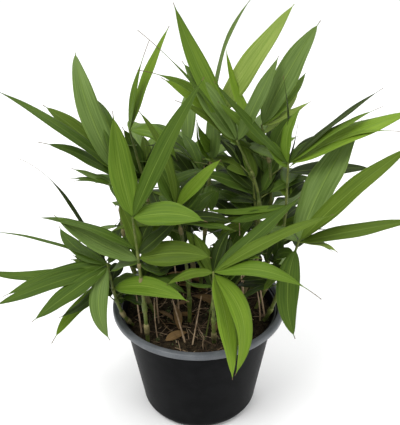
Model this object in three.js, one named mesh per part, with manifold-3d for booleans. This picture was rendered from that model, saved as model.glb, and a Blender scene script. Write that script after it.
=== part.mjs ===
// Potted bamboo: a clump of young bamboo shoots with broad leaves, standing in a round plastic pot.
// Millimetres, +Z up. The origin is the middle of the pot's flat underside, and -Y is the front.
import * as THREE from 'three';
import { mergeVertices } from 'three/addons/utils/BufferGeometryUtils.js';
import Module from 'manifold-3d';

const wasm = await Module();
wasm.setup();

// ---- Sizes -------------------------------------------------------------------------------------

const POT_HEIGHT = 181;
const RIM_RADIUS = 130;
const RIM_BAND = 9.5;
const LIP_DEPTH = 9;
const BODY_TOP_RADIUS = 115.5;
const BODY_FOOT_RADIUS = 86;
const HEEL = 18;
const POT_WALL = 2.6;
const POT_FLOOR = 3.2;
const POT_SIDES = 36;

const SOIL_EDGE_HEIGHT = 160;
const SOIL_CROWN = 3;
const SOIL_CROWN_RADIUS = 60;

const GAP = 0.4;
const GUARD = 0.55;

const CULM_FOOT_RADIUS = 3.1;
const CULM_TOP_RADIUS = 2.1;
const CULM_SIDES = 5;
const CULM_STEPS = 3;

const TWIG_LOW_RADIUS = 2.1;
const TWIG_HIGH_RADIUS = 1.5;
const TWIG_TAIL = 3;
const TWIG_LEAD = 2;
const TWIG_SIDES = 4;

const BLADE_THICKNESS = 1.5;
const BLADE_FOLD = 0.14;
const STALK_SHARE = 0.03;
const STALK_WIDTH = 2;
const BLADE_STATIONS = [0.035, 0.19, 0.47, 0.8];
const SLIM_STATIONS = [0.035, 0.3, 0.7];
const SLIM_WIDTH = 24;

// ---- Colours -----------------------------------------------------------------------------------

const POT_BLACK = 0x26282a;
const SOIL_BROWN = 0x2e261c;
const CULM_GREEN = 0x6f7440;
const LEAF_GREENS = [0x55792a, 0x486b26, 0x6a8f33, 0x5c8236];

// ---- Shoots ------------------------------------------------------------------------------------
// Every shoot has its foot on the soil, and a leafy twig from low to high. Its named leaves are listed,
// and a fan deals out more of them by rule.
// A leaf: [place on the twig 0..1, heading, rise, length, width, arch, sweep, roll, awn share].
// Heading is counted from +X towards +Y, rise from the level, roll about the leaf's own length, in
// degrees. Arch and sweep are shares of the length, up and to the side.

const SHOOTS = [
  {
    name: 'front_left', foot: [-74, -71], low: [-80, -85, 305], high: [-85, -85, 375],
    leaves: [
      [1, 134, 79, 145, 36, -0.06, 0.02, 15, 0.08],
      [1, 23, 60, 205, 29, 0.02, -0.01, -25, 0.06],
      [1, 348, 3, 100, 34, 0.08, -0.02, -40, 0.08],
      [0.05, 168, 27, 129, 29, -0.04, 0.01, 30, 0.05],
      [0.3, 162, 8, 160, 20, 0.14, -0.08, -5, 0.12],
      [0.1, 351, 6, 100, 35, 0.02, -0.1, -50, 0.05],
      [0, 43, -28, 65, 22, -0.1, 0.1, -20, 0.08],
      [0.2, 23, 36, 80, 26, -0.04, -0.02, -10, 0.08],
      [1, 131, 30, 60, 13, 0.14, -0.08, -20, 0.08],
    ],
    fan: {
      count: 2, headings: [100, 180], rises: [-35, -5],
      lengths: [80, 95], widths: [22, 26], seed: 34,
    },
  },
  {
    name: 'low_left', foot: [-98, -30], low: [-120, -65, 250], high: [-125, -65, 290],
    leaves: [
      [1, 184, -17, 155, 28, 0.01, 0.06, 20, 0.06],
      [0.9, 196, -12, 165, 29, 0, 0.04, 10, 0.06],
      [1, 163, -13, 210, 22, -0.04, -0.05, 15, 0.05],
      [0.9, 214, -20, 126, 29, 0.02, 0, 15, 0.06],
      [0.5, 217, -21, 90, 22, -0.2, 0.09, -5, 0.06],
      [0.4, 227, -24, 120, 23, -0.18, 0.23, 0, 0.12],
      [0.9, 272, -62, 102, 26, 0.16, 0.13, 0, 0.06],
      [1, 137, 11, 105, 26, -0.01, -0.1, 0, 0.06],
      [1, 159, 4, 195, 9, 0.04, 0.02, -10, 0.1],
      [0, 325, 13, 135, 28, 0.08, -0.02, -40, 0.06],
      [1, 143, 50, 180, 16, 0.02, 0.02, -25, 0.35],
    ],
    fan: {
      count: 2, headings: [30, 100], rises: [-12, 8],
      lengths: [75, 90], widths: [22, 26], seed: 142,
    },
  },
  {
    name: 'front_centre', foot: [22, -74], low: [20, -110, 285], high: [20, -110, 305],
    leaves: [
      [1, 7, 26, 175, 23, 0.04, 0, -10, 0.05],
      [1, 351, 23, 70, 18, 0.06, -0.2, -5, 0.08],
      [1, 180, -17, 65, 19, 0.08, 0.04, 10, 0.04],
      [0, 191, 23, 45, 10, -0.14, 0, 0, 0.1],
      [0.9, 292, -63, 145, 27, -0.08, -0.06, 15, 0.04],
      [0.95, 300, -67, 145, 28, 0.06, -0.18, 5, 0.04],
      [1, 341, -4, 145, 27, 0.16, 0.01, -15, 0.2],
      [1, 29, 30, 155, 24, 0, 0, -10, 0.04],
    ],
  },
  {
    name: 'right_low', foot: [98, -22], low: [130, -75, 310], high: [135, -75, 330],
    leaves: [
      [1, 50, 42, 193, 53, -0.04, -0.06, 10, 0.03],
      [1, 0, 46, 200, 31, 0.02, -0.03, -25, 0.05],
      [1, 353, 16, 160, 24, -0.02, -0.05, -20, 0.05],
      [1, 333, -1, 55, 11, -0.01, -0.18, -5, 0.08],
      [0.5, 269, -67, 125, 32, 0.07, 0.1, 5, 0.05],
      [0, 134, -42, 55, 18, 0.16, 0.04, 40, 0.05],
    ],
    fan: {
      count: 3, headings: [60, 170], rises: [-45, -15],
      lengths: [80, 100], widths: [22, 28], seed: 142,
    },
  },
  {
    name: 'right', foot: [86, 6], low: [125, 0, 345], high: [125, 0, 410],
    leaves: [
      [1, 17, 35, 165, 17, 0.06, 0.04, 10, 0.08],
      [1, 8, 31, 148, 20, 0.07, 0.04, 0, 0.12],
      [1, 0, 25, 185, 37, 0.02, -0.01, -15, 0.05],
      [0.9, 345, 26, 160, 16, 0.06, -0.14, -5, 0.14],
      [0.8, 32, -13, 164, 27, 0.01, -0.01, -25, 0.05],
      [1, 183, 50, 160, 18, -0.03, 0.08, 30, 0.05],
      [1, 62, 60, 80, 19, 0.12, -0.1, 20, 0.04],
      [1, 100, 68, 120, 8, -0.04, 0.04, -55, 0.1],
      [1, 42, 75, 60, 6, -0.16, -0.09, 35, 0.3],
      [0.9, 156, 47, 55, 20, 0, 0.02, 25, 0.05],
      [0, 185, 0, 120, 17, -0.04, -0.03, 5, 0.06],
      [0, 200, -6, 90, 24, -0.02, -0.02, 5, 0.06],
    ],
    fan: {
      count: 3, headings: [60, 160], rises: [-35, 0],
      lengths: [85, 110], widths: [22, 28], seed: 154,
    },
  },
  {
    name: 'top_centre', foot: [28, 8], low: [75, 20, 390], high: [55, 20, 435],
    leaves: [
      [1, 149, 61, 205, 33, -0.04, 0.01, 20, 0.04],
      [1, 159, 53, 134, 34, 0, 0.02, 30, 0.06],
      [1, 153, 42, 205, 10, 0.1, -0.08, -10, 0.3],
      [1, 176, 37, 168, 25, 0.05, 0.22, 25, 0.2],
      [0.8, 185, 45, 150, 20, 0.02, 0.12, 30, 0.05],
      [0.8, 193, 41, 120, 17, 0.04, 0.12, 35, 0.15],
      [1, 41, 54, 130, 25, 0.09, 0.08, -5, 0.04],
    ],
  },
  {
    name: 'top_right', foot: [64, 52], low: [100, 40, 405], high: [90, 40, 450],
    leaves: [
      [1, 25, 58, 162, 39, 0, -0.04, -25, 0.05],
      [1, 38, 36, 100, 20, 0.04, 0.09, -5, 0.03],
      [0.7, 50, 30, 96, 18, 0, 0.07, 10, 0.03],
      [1, 3, 27, 75, 14, -0.03, 0, -20, 0.06],
      [0.3, 143, 61, 145, 20, -0.06, -0.03, 0, 0.03],
      [0.3, 188, 46, 100, 20, 0, 0, 40, 0.05],
    ],
  },
  {
    name: 'top_back', foot: [2, 52], low: [20, 70, 385], high: [25, 70, 445],
    leaves: [
      [1, 19, 72, 184, 13, 0.02, -0.18, 0, 0.08],
      [1, 20, 53, 195, 35, 0.03, 0.02, -30, 0.03],
      [0, 78, 76, 85, 30, 0.3, 0.07, 35, 0.05],
      [0, 245, 65, 105, 10, -0.15, 0.03, 80, 0.1],
      [0.3, 234, 56, 68, 20, -0.17, -0.09, 80, 0.1],
    ],
    fan: {
      count: 4, headings: [10, 110], rises: [-8, 40],
      lengths: [85, 110], widths: [24, 30], seed: 115,
    },
  },
  {
    name: 'upper_left', foot: [-64, -8], low: [-110, 0, 345], high: [-110, 0, 400],
    leaves: [
      [1, 173, 35, 205, 21, 0.04, 0, 15, 0.1],
      [1, 158, 37, 138, 30, 0.04, 0.01, 20, 0.05],
      [1, 125, 55, 175, 35, 0.16, -0.13, 0, 0.02],
      [1, 119, 52, 110, 24, 0.24, -0.02, -20, 0.05],
      [0.8, 184, 30, 120, 22, 0.04, 0.08, 20, 0.12],
      [0.6, 185, 26, 70, 13, -0.04, 0.09, 15, 0.08],
      [0.5, 180, 14, 70, 12, 0.12, -0.04, 5, 0.1],
    ],
    fan: {
      count: 3, headings: [50, 160], rises: [-26, -4],
      lengths: [80, 100], widths: [22, 28], seed: 66,
    },
  },
  {
    name: 'mid_left', foot: [-48, 34], low: [-80, 50, 365], high: [-95, 50, 440],
    leaves: [
      [1, 27, 65, 155, 18, 0.06, 0.05, -15, 0.04],
      [1, -2, 76, 135, 13, 0.04, 0.05, -40, 0.25],
      [1, 339, -27, 80, 26, 0.34, 0.17, -20, 0.05],
      [0, 140, 62, 80, 24, 0, 0.06, 5, 0.08],
    ],
    fan: {
      count: 4, headings: [55, 135], rises: [-50, -20],
      lengths: [75, 95], widths: [22, 28], seed: 40,
    },
  },
  {
    name: 'centre', foot: [-14, -30], low: [-25, -40, 335], high: [-30, -40, 365],
    leaves: [
      [1, 18, 44, 90, 22, 0.06, 0.06, -20, 0.04],
      [0.3, 353, -8, 80, 20, 0.04, 0, -5, 0.06],
      [1, 137, 62, 140, 20, 0.02, 0.09, -10, 0.04],
      [1, 125, 40, 80, 34, 0.06, 0.04, -5, 0.06],
      [0.5, 58, 35, 85, 18, 0.14, 0.18, 20, 0.1],
    ],
    fan: {
      count: 4, headings: [0, 140], rises: [-30, 10],
      lengths: [65, 85], widths: [22, 28], seed: 162,
    },
  },
  {
    name: 'centre_right', foot: [58, 4], low: [85, 30, 310], high: [80, 30, 365],
    leaves: [
      [1, 155, 70, 70, 21, 0.02, 0.08, 25, 0.04],
      [0.8, 158, 36, 65, 24, 0, 0.02, 15, 0.08],
      [0.4, 147, -11, 55, 22, 0.02, 0.06, 0, 0.06],
      [0.1, 217, -50, 80, 24, 0.12, 0.02, 10, 0.05],
      [0.6, 42, 32, 50, 22, -0.02, 0.1, 10, 0.05],
    ],
    fan: {
      count: 4, headings: [60, 200], rises: [-18, 30],
      lengths: [70, 95], widths: [22, 28], seed: 73,
    },
  },
];

// The shoots behind and at the sides, whose leaves are all dealt out by rule.
const BACK_SHOOTS = [
  {
    name: 'back_left', foot: [-50, 70], low: [-78, 114, 275], high: [-86, 130, 335],
    fan: {
      count: 9, headings: [60, 170], rises: [-20, 20],
      lengths: [110, 140], widths: [24, 32], seed: 7,
    },
  },
  {
    name: 'back_centre', foot: [-6, 80], low: [-15, 120, 295], high: [-15, 130, 375],
    fan: {
      count: 9, headings: [20, 160], rises: [-20, 20],
      lengths: [110, 140], widths: [24, 32], seed: 15,
    },
  },
  {
    name: 'back_right', foot: [40, 72], low: [65, 100, 290], high: [70, 105, 365],
    fan: {
      count: 9, headings: [15, 120], rises: [-20, 24],
      lengths: [110, 140], widths: [24, 32], seed: 161,
    },
  },
  {
    name: 'side_right', foot: [74, 44], low: [115, 45, 255], high: [120, 50, 300],
    fan: {
      count: 6, headings: [-10, 80], rises: [-26, 6],
      lengths: [90, 115], widths: [24, 30], seed: 238,
    },
  },
  {
    name: 'side_left', foot: [-76, 30], low: [-110, 40, 250], high: [-115, 42, 290],
    fan: {
      count: 6, headings: [130, 220], rises: [-55, -25],
      lengths: [80, 105], widths: [24, 30], seed: 127,
    },
  },
];

// ---- Helpers -----------------------------------------------------------------------------------

const UP = new THREE.Vector3(0, 0, 1);

function vec([x, y, z]) {
  return new THREE.Vector3(x, y, z);
}

function mix(a, b, share) {
  return a + (b - a) * share;
}

// A closed solid run through rings of points, from a start point to an end point.
function loft(start, rings, end) {
  const points = [start, ...rings.flat(), end];
  const sides = rings[0].length;
  const last = points.length - 1;
  const faces = [];
  const at = (ring, side) => 1 + ring * sides + (side % sides);
  for (let side = 0; side < sides; side += 1) {
    faces.push([0, at(0, side + 1), at(0, side)]);
    faces.push([last, at(rings.length - 1, side), at(rings.length - 1, side + 1)]);
    for (let ring = 0; ring + 1 < rings.length; ring += 1) {
      faces.push([at(ring, side), at(ring, side + 1), at(ring + 1, side + 1)]);
      faces.push([at(ring, side), at(ring + 1, side + 1), at(ring + 1, side)]);
    }
  }
  let volume = 0;
  for (const [a, b, c] of faces) {
    volume += points[a].dot(points[b].clone().cross(points[c]));
  }
  const turned = volume > 0 ? faces : faces.map(([a, b, c]) => [a, c, b]);
  return new wasm.Manifold(new wasm.Mesh({
    numProp: 3,
    vertProperties: new Float32Array(points.flatMap((p) => p.toArray())),
    triVerts: new Uint32Array(turned.flat()),
  }));
}

// A ring of points round a centre, square to a direction.
function ring(centre, along, radius, sides) {
  const side = new THREE.Vector3(1, 0, 0).cross(along).normalize();
  const other = along.clone().cross(side).normalize();
  return Array.from({ length: sides }, (_, i) => {
    const angle = (2 * Math.PI * i) / sides;
    return centre.clone()
      .addScaledVector(side, radius * Math.cos(angle))
      .addScaledVector(other, radius * Math.sin(angle));
  });
}

// A tapering limb along a curve, cut level at its foot if it stands on the ground.
function limb(curve, steps, fromRadius, toRadius, sides, levelFoot = false) {
  const rings = Array.from({ length: steps + 1 }, (_, i) => {
    const share = i / steps;
    const along = i === 0 && levelFoot ? UP : curve.getTangent(share);
    return ring(curve.getPoint(share), along, mix(fromRadius, toRadius, share), sides);
  });
  return loft(curve.getPoint(0), rings, curve.getPoint(1));
}

function solidOfTurning(profile, sides) {
  const lathe = new THREE.LatheGeometry(profile.map(([r, z]) => new THREE.Vector2(r, z)), sides);
  lathe.rotateX(Math.PI / 2);
  lathe.deleteAttribute('normal');
  lathe.deleteAttribute('uv');
  const merged = mergeVertices(lathe, 1e-4);
  return new wasm.Manifold(new wasm.Mesh({
    numProp: 3,
    vertProperties: new Float32Array(merged.attributes.position.array),
    triVerts: new Uint32Array(merged.index.array),
  }));
}

function geometryOf(manifold) {
  const mesh = manifold.getMesh();
  const geometry = new THREE.BufferGeometry();
  geometry.setAttribute('position', new THREE.BufferAttribute(new Float32Array(mesh.vertProperties), 3));
  geometry.setIndex(new THREE.BufferAttribute(new Uint32Array(mesh.triVerts), 1));
  return geometry;
}

// The largest joined piece of a cut solid, so that no crumb is left beside it.
function largestPiece(geometry) {
  const index = geometry.index.array;
  const parent = Array.from({ length: geometry.attributes.position.count }, (_, i) => i);
  const root = (i) => {
    let top = i;
    while (parent[top] !== top) {
      top = parent[top];
    }
    parent[i] = top;
    return top;
  };
  for (let i = 0; i < index.length; i += 3) {
    parent[root(index[i + 1])] = root(index[i]);
    parent[root(index[i + 2])] = root(index[i]);
  }
  const sizes = new Map();
  for (let i = 0; i < index.length; i += 3) {
    sizes.set(root(index[i]), (sizes.get(root(index[i])) ?? 0) + 1);
  }
  const [largest] = [...sizes.entries()].sort((a, b) => b[1] - a[1])[0];
  const kept = [];
  for (let i = 0; i < index.length; i += 3) {
    if (root(index[i]) === largest) {
      kept.push(index[i], index[i + 1], index[i + 2]);
    }
  }
  geometry.setIndex(kept);
  return geometry;
}

// Repeatable numbers from 0 to 1.
function dice(seed) {
  let state = seed;
  return () => {
    state = (state * 1664525 + 1013904223) % 4294967296;
    return state / 4294967296;
  };
}

// ---- Pot and soil ------------------------------------------------------------------------------

function bodyRadius(height) {
  return mix(BODY_FOOT_RADIUS, BODY_TOP_RADIUS, height / (POT_HEIGHT - LIP_DEPTH));
}

function makePot() {
  const lipBottom = POT_HEIGHT - LIP_DEPTH;
  const inner = (height) => bodyRadius(height) - POT_WALL;
  const profile = [
    [0, 0],
    [BODY_FOOT_RADIUS - HEEL, 0],
    [bodyRadius(5) - 6, 5],
    [bodyRadius(HEEL), HEEL],
    [BODY_TOP_RADIUS, lipBottom],
    [RIM_RADIUS - 1, lipBottom],
    [RIM_RADIUS, lipBottom + 1.5],
    [RIM_RADIUS, POT_HEIGHT - 2.5],
    [RIM_RADIUS - 2.5, POT_HEIGHT],
    [RIM_RADIUS - RIM_BAND + 1.5, POT_HEIGHT],
    [RIM_RADIUS - RIM_BAND, POT_HEIGHT - 2],
    [RIM_RADIUS - RIM_BAND - 1, lipBottom + 1],
    [inner(lipBottom - 3), lipBottom - 3],
    [inner(HEEL), HEEL],
    [BODY_FOOT_RADIUS - HEEL, POT_FLOOR],
    [0, POT_FLOOR],
  ];
  return solidOfTurning(profile, POT_SIDES);
}

function soilHeight(radius) {
  if (radius < SOIL_CROWN_RADIUS) {
    return SOIL_EDGE_HEIGHT + mix(SOIL_CROWN, SOIL_CROWN * 0.7, radius / SOIL_CROWN_RADIUS);
  }
  const edge = bodyRadius(SOIL_EDGE_HEIGHT) - POT_WALL - GAP;
  const share = (radius - SOIL_CROWN_RADIUS) / (edge - SOIL_CROWN_RADIUS);
  return SOIL_EDGE_HEIGHT + mix(SOIL_CROWN * 0.7, 0, share);
}

function makeSoil() {
  const radius = (height) => bodyRadius(height) - POT_WALL - GAP;
  const profile = [
    [0, POT_FLOOR + GAP],
    [BODY_FOOT_RADIUS - HEEL - GAP, POT_FLOOR + GAP],
    [radius(HEEL), HEEL + GAP],
    [radius(SOIL_EDGE_HEIGHT), SOIL_EDGE_HEIGHT],
    [SOIL_CROWN_RADIUS, soilHeight(SOIL_CROWN_RADIUS)],
    [0, soilHeight(0)],
  ];
  return solidOfTurning(profile, POT_SIDES);
}

// Everything the leaves that hang over the pot have to clear.
function makePotGuard() {
  const profile = [
    [0, -GUARD],
    [BODY_FOOT_RADIUS + GUARD, -GUARD],
    [BODY_TOP_RADIUS + GUARD, POT_HEIGHT - LIP_DEPTH - GUARD],
    [RIM_RADIUS + GUARD, POT_HEIGHT - LIP_DEPTH - GUARD],
    [RIM_RADIUS + GUARD, POT_HEIGHT + GUARD],
    [0, POT_HEIGHT + GUARD],
  ];
  return solidOfTurning(profile, POT_SIDES);
}

// ---- Culms, twigs and leaves -------------------------------------------------------------------

// The bare cane, from the soil up to the foot of its leafy twig.
function makeCulm(shoot, extra) {
  const low = vec(shoot.low);
  const lean = vec(shoot.high).sub(low).normalize();
  const foot = new THREE.Vector3(...shoot.foot, 0);
  foot.z = soilHeight(foot.length()) + GAP + 0.1;
  const top = low.clone().addScaledVector(lean, -(TWIG_TAIL + GAP));
  const bend = top.clone().addScaledVector(lean, -0.45 * top.distanceTo(foot));
  const curve = new THREE.QuadraticBezierCurve3(foot, bend, top);
  return limb(curve, CULM_STEPS, CULM_FOOT_RADIUS + extra, CULM_TOP_RADIUS + extra, CULM_SIDES, true);
}

function makeTwig(shoot, extra) {
  const low = vec(shoot.low);
  const high = vec(shoot.high);
  const lean = high.clone().sub(low).normalize();
  const from = low.clone().addScaledVector(lean, -TWIG_TAIL);
  const to = high.clone().addScaledVector(lean, TWIG_LEAD);
  const line = new THREE.LineCurve3(from, to);
  return limb(line, 1, TWIG_LOW_RADIUS + extra, TWIG_HIGH_RADIUS + extra, TWIG_SIDES);
}

// How wide the blade is at a share of its length, as a share of its full width.
function bladeOutline(share, awn) {
  const along = (share - STALK_SHARE) / (1 - awn - STALK_SHARE);
  if (along <= 0 || along >= 1) {
    return 0;
  }
  return Math.sin(Math.PI * along ** 0.78) ** 0.72;
}

// One leaf, a thin folded blade along an arching midrib.
function makeLeaf(shoot, leaf, extra, dealt = false) {
  const [place, heading, rise, length, width, arch, sweep, roll, awn] = leaf;
  const [h, r, turn] = [heading, rise, roll].map((angle) => (angle * Math.PI) / 180);
  const along = new THREE.Vector3(Math.cos(r) * Math.cos(h), Math.cos(r) * Math.sin(h), Math.sin(r));
  const over = UP.clone().addScaledVector(along, -along.z).normalize();
  const aside = along.clone().cross(over);
  const across = aside.clone().multiplyScalar(Math.cos(turn)).addScaledVector(over, Math.sin(turn));
  const face = across.clone().cross(along);
  const base = vec(shoot.low).lerp(vec(shoot.high), place);
  const midrib = (share) => {
    const bulge = 4 * share * (1 - share) * length;
    return base.clone()
      .addScaledVector(along, share * length)
      .addScaledVector(over, arch * bulge)
      .addScaledVector(aside, sweep * bulge);
  };
  const stations = dealt || width <= SLIM_WIDTH ? SLIM_STATIONS : BLADE_STATIONS;
  const rings = stations.map((station) => {
    const share = station < 0.1 ? station : station * (1 - awn) / 0.95;
    const half = Math.max(width * bladeOutline(share, awn), STALK_WIDTH) / 2;
    const thick = Math.min(BLADE_THICKNESS, 0.5 + half * 0.2) / 2;
    const centre = midrib(share);
    const edge = (side) => centre.clone()
      .addScaledVector(across, side * (half + 2 * extra))
      .addScaledVector(face, BLADE_FOLD * half);
    return [
      edge(-1),
      centre.clone().addScaledVector(face, thick + extra),
      edge(1),
      centre.clone().addScaledVector(face, -thick - extra),
    ];
  });
  if (extra > 0) {
    const tip = midrib(1);
    rings.push([
      tip.clone().addScaledVector(across, -2 * extra),
      tip.clone().addScaledVector(face, extra),
      tip.clone().addScaledVector(across, 2 * extra),
      tip.clone().addScaledVector(face, -extra),
    ]);
  }
  return loft(base, rings, midrib(1 + extra / length));
}

// Leaves dealt out over a range of headings, drooping at the foot of the twig and upright at its tip.
function dealLeaves(fan) {
  const next = dice(fan.seed);
  return Array.from({ length: fan.count }, (_, i) => {
    const turn = (0.5 + i * 0.618) % 1;
    const place = i / (fan.count - 1);
    return [
      place,
      mix(...fan.headings, turn) + 10 * (next() - 0.5),
      mix(...fan.rises, place) + 12 * (next() - 0.5),
      mix(...fan.lengths, next()),
      mix(...fan.widths, next()),
      0.08 + 0.06 * next(),
      0.08 * (next() - 0.5),
      30 * (next() - 0.5),
      0.06,
    ];
  });
}

// A twig with all its leaves as one body.
function makeSpray(shoot, extra) {
  let whole = makeTwig(shoot, extra);
  for (const leaf of shoot.leaves ?? []) {
    whole = whole.add(makeLeaf(shoot, leaf, extra));
  }
  for (const leaf of shoot.fan ? dealLeaves(shoot.fan) : []) {
    whole = whole.add(makeLeaf(shoot, leaf, extra, true));
  }
  return whole;
}

// ---- Assembly ----------------------------------------------------------------------------------

function meshOf(name, geometry, color, roughness) {
  const flat = geometry.toNonIndexed();
  flat.computeVertexNormals();
  const mesh = new THREE.Mesh(flat, new THREE.MeshStandardMaterial({ color, roughness }));
  mesh.name = name;
  return mesh;
}

const plant = new THREE.Group();
plant.name = 'potted_bamboo';
plant.add(meshOf('pot', geometryOf(makePot()), POT_BLACK, 0.5));
plant.add(meshOf('soil', geometryOf(makeSoil()), SOIL_BROWN, 0.95));

const shoots = [...SHOOTS, ...BACK_SHOOTS];
const guards = [makePotGuard()];
for (const shoot of shoots) {
  plant.add(meshOf(`culm_${shoot.name}`, geometryOf(makeCulm(shoot, 0)), CULM_GREEN, 0.6));
}
shoots.forEach((shoot, i) => {
  let spray = makeSpray(shoot, 0);
  for (const other of shoots) {
    spray = spray.subtract(makeCulm(other, GUARD));
  }
  for (const guard of guards) {
    spray = spray.subtract(guard);
  }
  guards.push(makeSpray(shoot, GUARD));
  const color = LEAF_GREENS[i % LEAF_GREENS.length];
  plant.add(meshOf(`spray_${shoot.name}`, largestPiece(geometryOf(spray)), color, 0.6));
});

export default plant;
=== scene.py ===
"""Potted bamboo: the looks of a clump of young bamboo shoots in a round black nursery pot.

Sizes are in metres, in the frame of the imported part: +Z is up, -Y is the front, and the origin is the
middle of the pot's flat underside. The shoots' own tables are in millimetres and degrees.
"""

import logging
import math
import random
from dataclasses import dataclass, field
from enum import Enum
from functools import cache

import bmesh
import bpy
from mathutils import Matrix, Vector, noise

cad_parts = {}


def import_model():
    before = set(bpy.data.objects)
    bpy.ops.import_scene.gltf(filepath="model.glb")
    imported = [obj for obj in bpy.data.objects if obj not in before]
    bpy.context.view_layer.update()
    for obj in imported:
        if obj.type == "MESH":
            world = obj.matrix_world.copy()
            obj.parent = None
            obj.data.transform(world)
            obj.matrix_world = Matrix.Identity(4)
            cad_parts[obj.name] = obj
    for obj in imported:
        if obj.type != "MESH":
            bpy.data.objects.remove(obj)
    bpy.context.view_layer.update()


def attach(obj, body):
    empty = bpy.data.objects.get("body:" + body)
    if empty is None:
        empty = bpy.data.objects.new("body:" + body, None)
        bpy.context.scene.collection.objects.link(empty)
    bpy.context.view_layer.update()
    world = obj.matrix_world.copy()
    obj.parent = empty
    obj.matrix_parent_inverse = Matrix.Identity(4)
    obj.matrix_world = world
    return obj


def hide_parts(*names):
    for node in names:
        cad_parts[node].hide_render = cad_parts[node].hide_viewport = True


LOG = logging.getLogger("potted_bamboo")
MM = 0.001
UP = Vector((0.0, 0.0, 1.0))
BODY = "root"

Colour = tuple[float, float, float]


def mix(low: float, high: float, share: float) -> float:
    """The number that share of the way from low to high."""
    return low + (high - low) * share


def smooth(low: float, high: float, value: float) -> float:
    """0 below low, 1 above high, and an even S between them."""
    share = min(max((value - low) / (high - low), 0.0), 1.0)
    return share * share * (3.0 - 2.0 * share)


def direction(heading: float, rise: float) -> Vector:
    """The way that a heading and a rise give, both in degrees, as a vector of length 1."""
    turn, lift = math.radians(heading), math.radians(rise)
    return Vector((math.cos(lift) * math.cos(turn), math.cos(lift) * math.sin(turn), math.sin(lift)))


class Dice:
    """Repeatable numbers from 0 to 1, the same ones that deal out the solid leaves."""

    def __init__(self, seed: int) -> None:
        """Starts the row of numbers.

        Args:
            seed: Where it starts.
        """
        self.state = seed

    def roll(self) -> float:
        """The next number."""
        self.state = (self.state * 1664525 + 1013904223) % 4294967296
        return self.state / 4294967296

    def between(self, low: float, high: float) -> float:
        """A number from low to high."""
        return mix(low, high, self.roll())

    def spread(self, width: float) -> float:
        """A number up to half the width either side of 0."""
        return width * (self.roll() - 0.5)


# ---- Finishes ----------------------------------------------------------------------------------


class NodeSheet:
    """A node tree with short ways to add a node and to join two sockets."""

    def __init__(self, tree: bpy.types.NodeTree) -> None:
        """Wraps a tree.

        Args:
            tree: A material's tree or a group's.
        """
        self.tree = tree

    def add(self, kind: str, inputs: dict | None = None, **settings: object) -> bpy.types.Node:
        """Adds a node.

        Args:
            kind: The node's type name.
            inputs: Values, or sockets to join, by input name or number.
            settings: The node's own properties.

        Returns:
            The new node.
        """
        node = self.tree.nodes.new(kind)
        for name, value in settings.items():
            setattr(node, name, value)
        for name, value in (inputs or {}).items():
            if isinstance(value, bpy.types.NodeSocket):
                self.tree.links.new(value, node.inputs[name])
            else:
                node.inputs[name].default_value = value
        return node

    def math(self, operation: str, first: object, second: object = 0.0) -> bpy.types.NodeSocket:
        """The result of a Math node."""
        return self.add("ShaderNodeMath", {0: first, 1: second}, operation=operation).outputs[0]

    def ramp(self, value: object, low: float, high: float, start: float = 0.0,
             end: float = 1.0) -> bpy.types.NodeSocket:
        """A value moved smoothly from the range low to high into the range start to end."""
        inputs = {"Value": value, "From Min": low, "From Max": high, "To Min": start, "To Max": end}
        return self.add("ShaderNodeMapRange", inputs, interpolation_type="SMOOTHSTEP").outputs[0]

    def blend(self, share: object, first: object, second: object) -> bpy.types.NodeSocket:
        """One colour run into another."""
        return self.add("ShaderNodeMix", {0: share, 6: first, 7: second}, data_type="RGBA").outputs[2]

    def join(self, target: bpy.types.Node, results: dict[str, bpy.types.NodeSocket]) -> None:
        """Joins results to a node's inputs, by name."""
        for label, value in results.items():
            self.tree.links.new(value, target.inputs[label])


def rgba(colour: Colour) -> tuple[float, float, float, float]:
    """A colour with full alpha."""
    return (*colour, 1.0)


def start_group(name: str, inputs: dict[str, float],
                outputs: tuple[str, ...]) -> tuple[NodeSheet, bpy.types.Node, bpy.types.Node]:
    """Begins a shader group that several finishes share.

    Args:
        name: The group's name.
        inputs: Its number inputs and their values at the start.
        outputs: Its number outputs.

    Returns:
        The sheet, the input node and the output node.
    """
    tree = bpy.data.node_groups.new(name, "ShaderNodeTree")
    tree.interface.new_socket("Vector", in_out="INPUT", socket_type="NodeSocketVector")
    for label, value in inputs.items():
        socket = tree.interface.new_socket(label, in_out="INPUT", socket_type="NodeSocketFloat")
        socket.default_value = value
    for label in outputs:
        tree.interface.new_socket(label, in_out="OUTPUT", socket_type="NodeSocketFloat")
    return NodeSheet(tree), tree.nodes.new("NodeGroupInput"), tree.nodes.new("NodeGroupOutput")


@cache
def blade_pattern() -> bpy.types.NodeTree:
    """Midrib, streaks along the veins, pale margin and relief of a leaf, on its own map."""
    sheet, start, end = start_group("blade_pattern", {"Streaks": 26.0, "Ribs": 11.0},
                                    ("Rib", "Streak", "Margin", "Height"))
    split = sheet.add("ShaderNodeSeparateXYZ", {0: start.outputs["Vector"]})
    across, along = split.outputs["X"], split.outputs["Y"]
    centred = sheet.math("ABSOLUTE", sheet.math("SUBTRACT", across, 0.5))
    rib = sheet.ramp(centred, 0.012, 0.034, 1.0, 0.0)
    margin = sheet.ramp(centred, 0.455, 0.495)
    streak_at = sheet.add("ShaderNodeCombineXYZ", {
        "X": sheet.math("MULTIPLY", across, start.outputs["Streaks"]),
        "Y": sheet.math("MULTIPLY", along, 2.2),
    })
    streaks = sheet.add("ShaderNodeTexNoise", {"Vector": streak_at.outputs[0], "Scale": 0.55,
                                               "Detail": 3.0, "Roughness": 0.55})
    streak = sheet.ramp(streaks.outputs[0], 0.34, 0.68)
    turns = sheet.math("MULTIPLY", sheet.math("MULTIPLY", across, start.outputs["Ribs"]), 2 * math.pi)
    veins = sheet.math("MULTIPLY", sheet.math("SINE", turns), 0.35)
    height = sheet.math("ADD", sheet.math("ADD", veins, streak), rib)
    sheet.join(end, {"Rib": rib, "Streak": streak, "Margin": margin, "Height": height})
    return sheet.tree


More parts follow.
